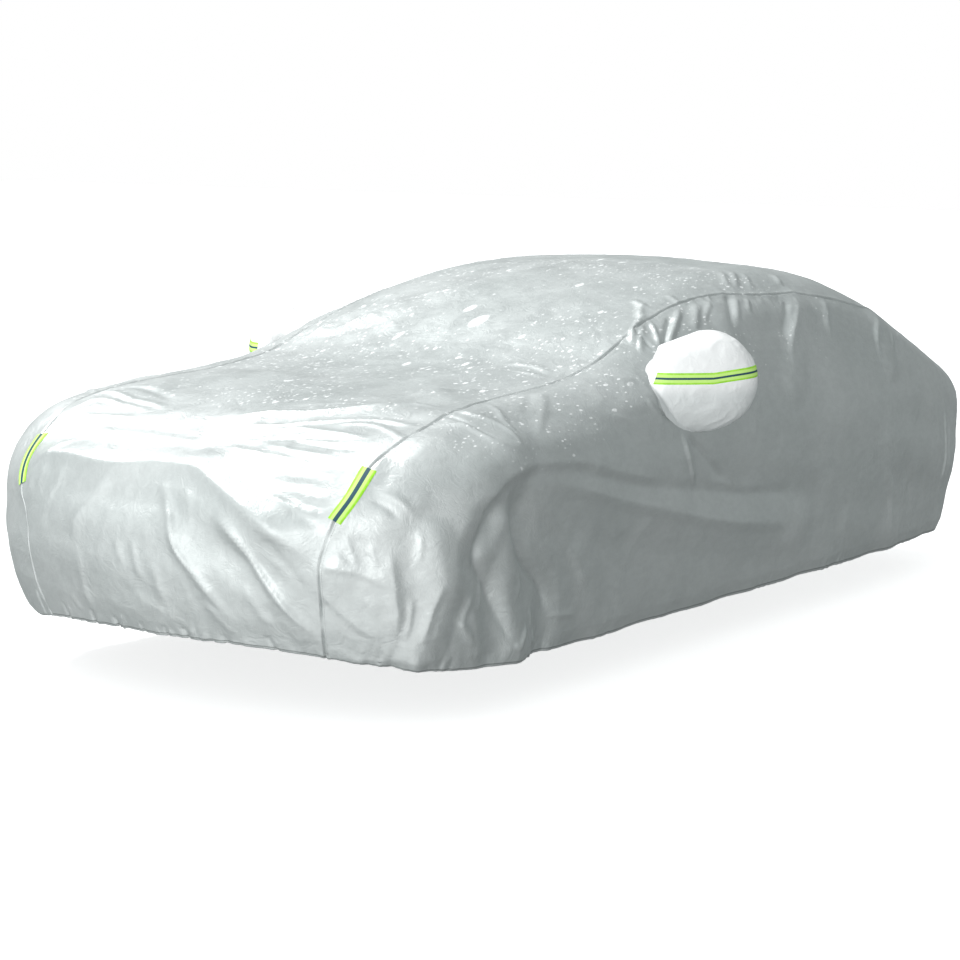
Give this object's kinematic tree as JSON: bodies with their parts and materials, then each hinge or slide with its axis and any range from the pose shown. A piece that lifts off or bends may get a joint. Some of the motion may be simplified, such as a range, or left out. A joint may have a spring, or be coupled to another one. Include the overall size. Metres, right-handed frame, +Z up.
{
  "type": "car cover",
  "caption": "Fitted silvery cloth car cover with sewn panels, mirror pockets, a gathered hem and reflective strips, hanging hollow in the shape that it is made to.",
  "frame": {"origin": "the middle of the underside of the cover's roof, 1.354 m above the ground that the cover hangs over", "axes": "+X to the left-hand side of the cover, -Y towards its nose, +Z up"},
  "size_m": [2.1918, 4.705, 1.1978],
  "materials": {
    "cover_cloth": "silver coated, slightly shiny, finely creased",
    "pocket_cloth": "silver coated, shinier and more crumpled than the panels",
    "reflective_strip": "fluorescent reflective tape with a dark line along its middle"
  },
  "bodies": {
    "root": {"centre_panel": "cover_cloth", "left_side_panel": "cover_cloth", "right_side_panel": "cover_cloth", "left_mirror_pocket": "pocket_cloth", "right_mirror_pocket": "pocket_cloth", "front_left_strip": "reflective_strip", "front_right_strip": "reflective_strip", "left_pocket_strip": "reflective_strip", "right_pocket_strip": "reflective_strip"}
  },
  "joints": []
}
